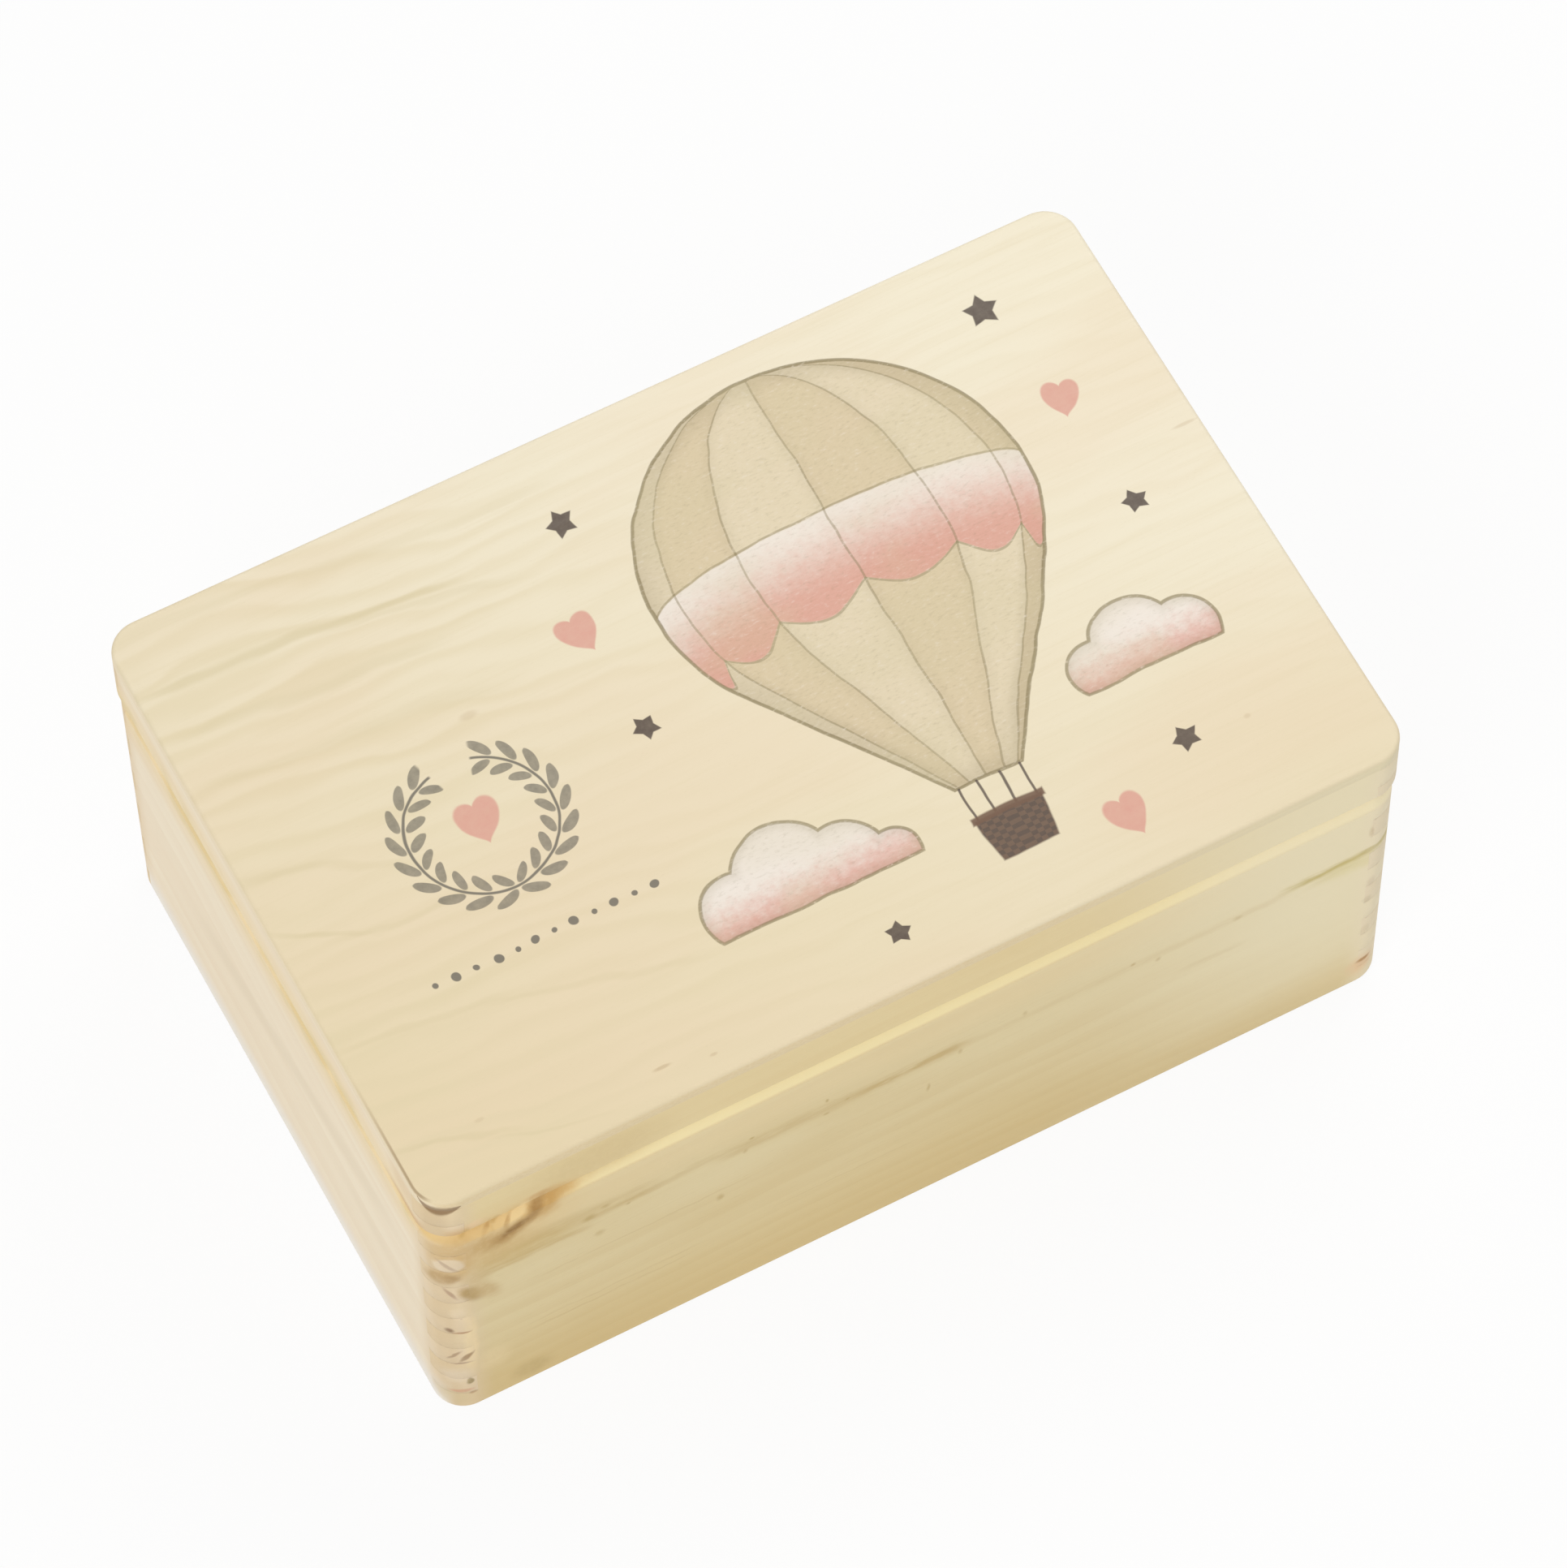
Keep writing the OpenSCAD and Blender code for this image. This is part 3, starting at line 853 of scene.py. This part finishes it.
def topWood(f, spec):
    wave = f.noise(f.point, spec["waveScale"], 2.0, 0.5, 51) - 0.5
    ripple = f.noise(f.point, spec["rippleScale"], 2.0, 0.5, 52) - 0.5
    grain = f.x * spec["slope"] + f.y + wave * spec["sway"] + ripple * spec["ripple"]
    rings = grain / spec["ring"]
    year = rings % 1
    strength = f.chance(rings.floor()) * 0.7 + 0.3
    late = year.ease(0.15, 0.7) * year.ease(1.0, 0.75) * strength
    fibre = f.noise(f.point, spec["fibreScale"], 4.0, 0.6, 53)
    cloud = f.noise(f.point, spec["cloudScale"], 2.0, 0.5, 54).ease(0.4, 0.65)
    pores = f.specks(f.point, spec["poreScale"], spec["poreSize"], 5)
    # the figure is stronger at the left; the tone is warmer and darker at the left and towards the
    # front, partly the wood's own tone and partly painted shade for the light falling off from the
    # right back
    leftPart = f.x.ease(20, -110) * 0.75 + 0.25
    shade = (f.x * -0.0026 - f.y * 0.0036 + 0.36).most(0).least(1)
    shade = shade + f.x.ease(40, 140) * f.y.ease(-20, -90) * 0.35
    colour = f.mix(shade * 0.9, spec["early"], spec["warm"])
    colour = f.mix(late * leftPart * spec["figure"], colour, spec["late"])
    colour = f.mix(cloud * 0.3, colour, spec["blushTone"])
    colour = f.mix(fibre.ease(0.45, 0.75) * 0.16, colour, spec["late"])
    colour = f.mix(pores * 0.14, colour, spec["pore"])
    across = f.y + wave * 10 + ripple * 8
    lines = 0
    for start, end, width, strength in spec["lines"]:
        lines = f.streak(f.x, across, start, end, width, spec["streakFade"]) * strength + lines
    colour = f.mix(lines.least(1) * 0.55, colour, spec["streakTone"])
    flat = f.join(f.x, f.y)
    flecks = 0
    for centre, size, strength in spec["flecks"]:
        flecks = f.blot(flat, centre, size) * strength + flecks
    colour = f.mix(flecks * 0.6, colour, spec["fleck"])
    return colour, fibre * 0.12 + 0.52, fibre


trace = {
    "spans": ((-194, -156), (-147, -151)),
    "reach": 9.8,  # from the axis of the corner
    "levels": (129.7, 130.6),
    "tint": 0.6,
}


def edgeTrace(f, colour, around, reach):
    # a thin dark line along the left edge of the top, which runs into the dark smile at the near
    # corner
    farSpan, nearSpan = trace["spans"]
    span = around.ease(*farSpan) * around.ease(*nearSpan)
    line = abs(reach - trace["reach"]).ease(0.6, 0.2) * f.z.ease(*trace["levels"])
    return f.mix(line * span * trace["tint"], colour, jointArc["colour"])


# the drawing on the lid: a balloon, two clouds, stars, hearts, a wreath and a row of beads
ink = {
    "beige": paint(222, 203, 166),
    "beigeLight": paint(231, 215, 182),
    "olive": paint(214, 202, 160),
    "outline": paint(138, 122, 82),
    "blush": paint(224, 158, 142),
    "pale": paint(247, 237, 226),
    "brown": paint(60, 40, 33),
    "wicker": paint(112, 82, 60),
    "grey": paint(92, 88, 80),
    "pen": 1.1,  # width of the outlines
    # turns per millimetre
    "waver": (0.06, 0.06, 0.06),
    "grains": (0.35, 0.35, 0.35),
    "felt": (0.42, 1.1, 1.1),
}


def penLine(distance, width, uneven):
    # a pen line of uneven strength along the zero of a distance
    return abs(distance).ease(width * 0.62, width * 0.3) * uneven.ease(0.15, 0.5)


balloon = {
    "centre": (44, 32),
    "radius": 57.0,
    "taper": 35.0,  # slope of the sides below the round top
    "neck": -85.0,
    "gores": 6,
    "sashLow": -15.0,
    "sashHigh": 10.0,
    "sashHang": 6.5,  # depth of the scallops
    "sashBow": 10,  # how far its ends bow down
    "basket": (44, -71),
    "basketHalf": (9.5, 7.0),
    "ropes": [9.0, 3.2],
}


def printBalloon(f, spec, x, y, base, grainy, uneven):
    radius = spec["radius"]
    cosine = math.cos(math.radians(spec["taper"]))
    sine = math.sin(math.radians(spec["taper"]))
    dx = x - spec["centre"][0]
    dy = y - spec["centre"][1]
    dome = (dx * dx + dy * dy) ** 0.5 - radius
    sides = abs(dx) * cosine - dy * sine - radius
    flank = sides.most(spec["neck"] - dy).most(dy + radius * sine)
    shape = dome.least(flank)
    # half the width at each height, to lay the gores between the sides
    lowPart = dy.ease(-radius * sine + 0.5, -radius * sine - 0.5)
    domeHalf = (radius ** 2 - dy * dy).most(4) ** 0.5
    half = domeHalf * (1 - lowPart) + ((dy * sine + radius) / cosine).most(4) * lowPart
    turn = f.math("ARCSINE", (dx / half).least(0.999).most(-0.999))
    pitch = math.pi / spec["gores"]
    gore = turn / pitch
    seamGap = abs((gore + 0.5) % 1 - 0.5) * pitch * f.math("COSINE", turn) * half
    inside = shape.ease(0.3, -0.3)
    colour = f.mix(gore.floor() % 2, ink["beige"], ink["beigeLight"])
    colour = f.mix(shape.ease(-8, -0.5) * 0.24, colour, ink["outline"])
    colour = f.mix(seamGap.ease(4, 0) * 0.1, colour, ink["outline"])
    # a scalloped sash across the widest part, pale above and blushing below
    low, high = spec["sashLow"], spec["sashHigh"]
    rise = dy + (1 - f.math("COSINE", turn)) * spec["sashBow"]
    hang = f.math("SINE", (gore % 1) * math.pi) * spec["sashHang"] + rise
    sash = hang.ease(low, low + 0.8) * rise.ease(high, high - 0.8)
    tint = (rise + grainy * 12).ease(high + 6, low + 6)
    colour = f.mix(sash * 0.88, colour, f.mix(tint, ink["pale"], ink["blush"]))
    hems = penLine(hang - low, 0.9, uneven) + penLine(rise - high, 0.8, uneven)
    inner = (hems + penLine(seamGap, 0.7, uneven)) * inside * 0.65
    outline = (penLine(shape, ink["pen"], uneven) + inner).least(1) * 0.8
    base = f.mix(inside * 0.94, base, colour)
    return f.mix(outline, base, ink["outline"]), inside


def printBasket(f, spec, x, y, base, grainy):
    side = abs(x - spec["basket"][0])
    rise = y - spec["basket"][1]
    halfWide, halfHigh = spec["basketHalf"]
    low = spec["basket"][1] + halfHigh
    high = spec["centre"][1] + spec["neck"]
    span = y.ease(low - 0.3, low + 0.3) * y.ease(high + 0.3, high - 0.3)
    ropes = 0
    for rope in spec["ropes"]:
        ropes = abs(side - rope).ease(0.55, 0.2) + ropes
    base = f.mix(ropes.least(1) * span * 0.85, base, ink["brown"])
    body = (side - halfWide - rise * 0.12).most(abs(rise) - halfHigh).ease(0.4, -0.4)
    weave = ((side * 0.55).floor() + (rise * 0.75).floor()) % 2
    base = f.mix(body * 0.95, base, f.mix(weave * 0.5 + grainy * 0.35, ink["brown"], ink["wicker"]))
    rim = (side - halfWide - 1.6).most(abs(rise - halfHigh) - 1.2).ease(0.4, -0.4)
    return f.mix(rim * 0.95, base, ink["wicker"])


clouds = [
    # puffs as centre and radius, and the level of the flat underside
    {
        "puffs": [((-34, -58), 11.5), ((-18, -53), 15), ((-2, -58), 12), ((11, -62), 7.5)],
        "floor": -65,
    },
    {
        "puffs": [((87, -38), 9), ((100, -34), 13), ((114, -38), 10)],
        "floor": -44,
    },
]


def printCloud(f, spec, x, y, base, grainy, uneven):
    reach = None
    for centre, radius in spec["puffs"]:
        puff = f.vectorMath("DISTANCE", f.join(x, y), (*centre, 0), output="Value") - radius
        reach = puff if reach is None else reach.least(puff)
    shape = reach.most(spec["floor"] - y)
    inside = shape.ease(0.3, -0.3)
    tint = (y + grainy * 12).ease(spec["floor"] + 20, spec["floor"] + 5)
    colour = f.mix(tint * 0.85, ink["pale"], ink["blush"])
    colour = f.mix(shape.ease(-4, 0) * 0.22, colour, ink["outline"])
    base = f.mix(inside * 0.92, base, colour)
    return f.mix(penLine(shape, ink["pen"], uneven) * 0.75, base, ink["outline"]), inside


sparkles = {
    # centre, size, turn
    "stars": [
        ((-22, 72), 5.0, 10),
        ((113, 78), 5.5, -8),
        ((-31, 4), 4.0, 24),
        ((121, 4), 4.0, 5),
        ((97, -68), 4.6, 16),
        ((0, -84), 3.8, -12),
    ],
    "hearts": [
        ((-33, 38), 6.6, 12),
        ((119, 42), 6.0, -14),
        ((72, -82), 6.8, 8),
        ((-84, -1), 7.4, 0),
    ],
    "points": 5,
}


def printSparkles(f, spec, x, y, base, grainy):
    flat = f.join(x, y)
    wedge = 2 * math.pi / spec["points"]
    stars = 0
    for centre, size, turn in spec["stars"]:
        local = f.local(flat, centre, (size, size), turn)
        lx, ly, _ = f.split(local)
        length = f.vectorMath("LENGTH", local, output="Value")
        angle = (f.math("ARCTAN2", lx, ly) + wedge / 2) % wedge - wedge / 2
        edge = length * f.math("COSINE", angle) + abs(length * f.math("SINE", angle)) * 1.55
        stars = edge.ease(1.06, 0.9) + stars
    hearts = 0
    for centre, size, turn in spec["hearts"]:
        lx, ly, _ = f.split(f.local(flat, centre, (size, size), turn))
        lifted = ly - (abs(lx) + 0.02) ** 0.5 * 0.72 + 0.22
        hearts = ((lx * lx + lifted * lifted) ** 0.5).ease(0.92, 0.8) + hearts
    base = f.mix(hearts.least(1) * (grainy * 0.3 + 0.66), base, ink["blush"])
    return f.mix(stars.least(1) * (grainy * 0.2 + 0.8), base, ink["brown"])


wreath = {
    "centre": (-84, -2),
    "radius": 21.0,
    "reach": 164.0,  # how far each branch climbs from the lowest point, in degrees
    "pairs": 9,
    "leaf": (3.9, 1.55),
    "leafOut": 3.0,
    "leafTurn": 34.0,
}


def printWreath(f, spec, x, y, base, grainy):
    # two leafy branches that rise from the lowest point of a circle
    dx = x - spec["centre"][0]
    dy = y - spec["centre"][1]
    reach = (dx * dx + dy * dy) ** 0.5 - spec["radius"]
    share = abs(f.math("ARCTAN2", dx, -dy)) / math.radians(spec["reach"])
    span = share.ease(1.0, 0.985)
    cell = spec["radius"] * math.radians(spec["reach"]) / spec["pairs"]
    along = ((share * spec["pairs"]) % 1 - 0.5) * cell
    flat = f.join(along, abs(reach))
    leaf = f.blot(flat, (0.3, spec["leafOut"]), spec["leaf"], spec["leafTurn"], 0.86)
    base = f.mix(leaf * span * (grainy * 0.4 + 0.5), base, ink["grey"])
    return f.mix(abs(reach).ease(0.6, 0.2) * span * 0.85, base, ink["grey"])


beads = {
    "from": -120.0,
    "to": -48.0,
    "level": -40.0,
    "pitch": 6.0,
}


def printBeads(f, spec, x, y, base):
    # a row of small beads, every second one larger
    span = x.ease(spec["from"], spec["from"] + 0.2) * x.ease(spec["to"], spec["to"] - 0.2)
    step = x / spec["pitch"]
    local = (step % 1 - 0.5) * spec["pitch"]
    rise = y - spec["level"]
    bead = ((local * local + rise * rise) ** 0.5 - (step.floor() % 2) * 0.5).ease(1.0, 0.7)
    return f.mix(bead * span * 0.85, base, ink["grey"])


def makeTopPly():
    f = PieceFinish("plywoodTop")
    spec = topPly
    wood, rough, height = topWood(f, spec)
    # the drawing wavers a little, as if done by hand
    wobble = f.noise(f.point, ink["waver"], 2.0, 0.5, 90) - 0.5
    x = f.x + wobble * 2.6
    y = f.y - wobble * 2.2
    grainy = f.noise(f.point, ink["grains"], 5.0, 0.65, 92)
    felt = f.noise(f.point, ink["felt"], 4.0, 0.7, 97)
    blend, inBalloon = printBalloon(f, balloon, x, y, wood, grainy, felt)
    masks = inBalloon
    for cloud in clouds:
        blend, inCloud = printCloud(f, cloud, x, y, blend, grainy, felt)
        masks = masks + inCloud
    # the ink lies on coarse fibres: it shows as a felt of darker and paler dashes
    tint = f.noise(f.point, (0.03, 0.045, 0.045), 2.0, 0.5, 98).ease(0.4, 0.62)
    blend = f.mix(masks * tint * 0.22, blend, ink["olive"])
    blend = f.mix(masks * felt.ease(0.5, 0.74) * 0.2, blend, ink["outline"])
    blend = f.mix(masks * felt.ease(0.46, 0.28) * 0.3, blend, ink["pale"])
    blend = printBasket(f, balloon, x, y, blend, grainy)
    blend = printSparkles(f, sparkles, x, y, blend, grainy)
    blend = printWreath(f, wreath, x, y, blend, grainy)
    blend = printBeads(f, beads, x, y, blend)
    colour = f.mix(f.normal[2].ease(0.6, 0.9), wood, blend)
    colour = plies(f, colour, topLow.z / mm, topHigh.z / mm, spec)
    around, _, _, reach = wrapField(f)
    colour = edgeTrace(f, colour, around, reach)
    colour = jointShadowArc(f, colour, around, reach.ease(*fingers["skin"]))
    return f.surface(colour, rough, height, spec["relief"])


bottomPly = dict(
    backPine,
    seed=33.0,
    figure=0.4,
    pith=(20, -30),
    ring=7.0,
    glue=topPly["glue"],
    farLight=topPly["farLight"],
    sideLight=topPly["sideLight"],
    veneer=0.8,
    relief=0.08,
)


def makeBottomPly():
    f = PieceFinish("plywoodBottom")
    colour, rough, height = pineColour(f, f.x, f.y, f.z, f.normal[0], bottomPly)
    low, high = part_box("bottom_panel")
    colour = plies(f, colour, low.z / mm, high.z / mm, bottomPly)
    return f.surface(colour, rough, height, bottomPly["relief"])


dress(["lid_panel"], makeTopPly())
dress(["bottom_panel"], makeBottomPly())
print("plywood finished")


# hinges and screws
brass = {
    "bright": paint(214, 178, 102),
    "dull": paint(160, 122, 66),
    "screwBright": paint(236, 212, 154),
    "screwDull": paint(176, 142, 86),
    "shade": paint(64, 46, 28),
    "axisLevel": 107.15,
    "headLevel": 0.15,  # the heads' faces lie so far from the hinge's axis
    "steel": paint(186, 182, 174),
    "steelDull": paint(128, 122, 112),
    # turns per millimetre of the brushing along x, y and z
    "leafBrush": (0.2, 6.0, 6.0),
    "screwBrush": (3.0, 3.0, 3.0),
    "pinBrush": (0.3, 5.0, 5.0),
    "relief": 0.02,
}


def makeMetal(name, bright, dull, brush, sunk=False):
    f = PieceFinish(name)
    strokes = f.noise(f.point, brush, 4.0, 0.6, 7)
    stain = f.noise(f.point, (0.25, 0.25, 0.25), 4.0, 0.6, 8)
    colour = f.mix(stain.ease(0.4, 0.75) * 0.7, bright, dull)
    if sunk:
        # painted shade: the slots of the heads are painted dark below the heads' faces
        depth = abs(f.z - brass["axisLevel"]) - brass["headLevel"]
        colour = f.mix(depth.ease(0.04, 0.2) * 0.9, colour, brass["shade"])
    rough = strokes * 0.2 + stain * 0.16 + 0.26
    return f.surface(colour, rough, strokes, brass["relief"], {"Metallic": 1.0})


leaves = [name for name in nodes if name.endswith("_leaf")]
screws = [name for name in nodes if name.endswith("_screws")]
pins = [name for name in nodes if name.endswith("_pin")]
leafMetal = makeMetal("brassLeaf", brass["bright"], brass["dull"], brass["leafBrush"])
screwTones = brass["screwBright"], brass["screwDull"]
screwMetal = makeMetal("brassScrew", *screwTones, brass["screwBrush"], sunk=True)
pinMetal = makeMetal("steelPin", brass["steel"], brass["steelDull"], brass["pinBrush"])
dress(leaves, leafMetal)
dress(screws, screwMetal)
dress(pins, pinMetal)
print("metal finished")


# softened edges: widths in millimetres
edges = {
    "boards": 0.06,
    "panels": 0.03,
    "metal": 0.08,
    "segments": 2,
    "angle": 32.0,
    "weld": 0.002,
}


def soften(names, width):
    for name in names:
        weld = nodes[name].modifiers.new("weld", "WELD")
        weld.merge_threshold = edges["weld"] * mm
        bevel = nodes[name].modifiers.new("soften", "BEVEL")
        bevel.width = width * mm
        bevel.segments = edges["segments"]
        bevel.limit_method = "ANGLE"
        bevel.angle_limit = math.radians(edges["angle"])
        bevel.harden_normals = True


boards = [name for name in nodes if name.endswith("_wall") or name.endswith("_rail")]
soften(boards, edges["boards"])
soften(["lid_panel", "bottom_panel"], edges["panels"])
soften(leaves + screws + pins, edges["metal"])
print("edges softened")
